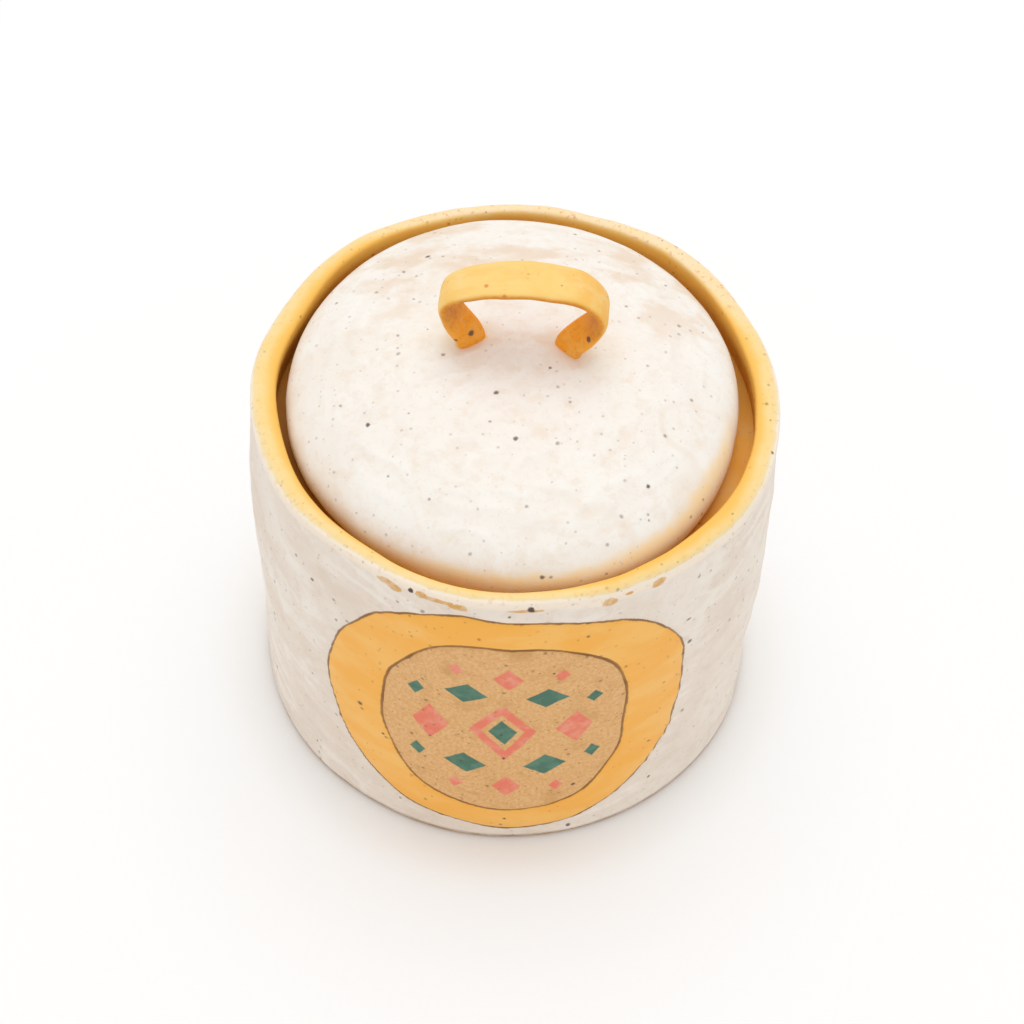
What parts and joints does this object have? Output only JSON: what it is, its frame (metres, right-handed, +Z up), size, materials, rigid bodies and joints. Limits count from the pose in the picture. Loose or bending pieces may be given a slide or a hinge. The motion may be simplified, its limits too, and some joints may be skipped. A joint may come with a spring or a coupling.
{
  "type": "lidded spice jar",
  "caption": "Hand-built stoneware jar with a domed lid that drops onto a seat inside the rim, lifted by a strap handle.",
  "frame": {"origin": "on the table under the middle of the jar", "axes": "+Z up along the jar's axis, front towards -Y, handle spans X"},
  "size_m": [0.0989, 0.0987, 0.1044],
  "materials": {
    "cream_glaze": "speckled cream satin glaze, thin and pinkish over the high spots",
    "yellow_glaze": "speckled warm yellow satin glaze"
  },
  "bodies": {
    "jar": {"floor_slab": "yellow_glaze", "jar_wall": "cream_glaze", "lid_seat_ring": "yellow_glaze"},
    "lid": {"lid_dome": "cream_glaze", "strap_handle": "yellow_glaze"}
  },
  "joints": [
    {"name": "lid_lift", "type": "slide", "parent": "jar", "child": "lid", "axis": [0, 0, 1], "range_m": [0, 0.08]}
  ]
}
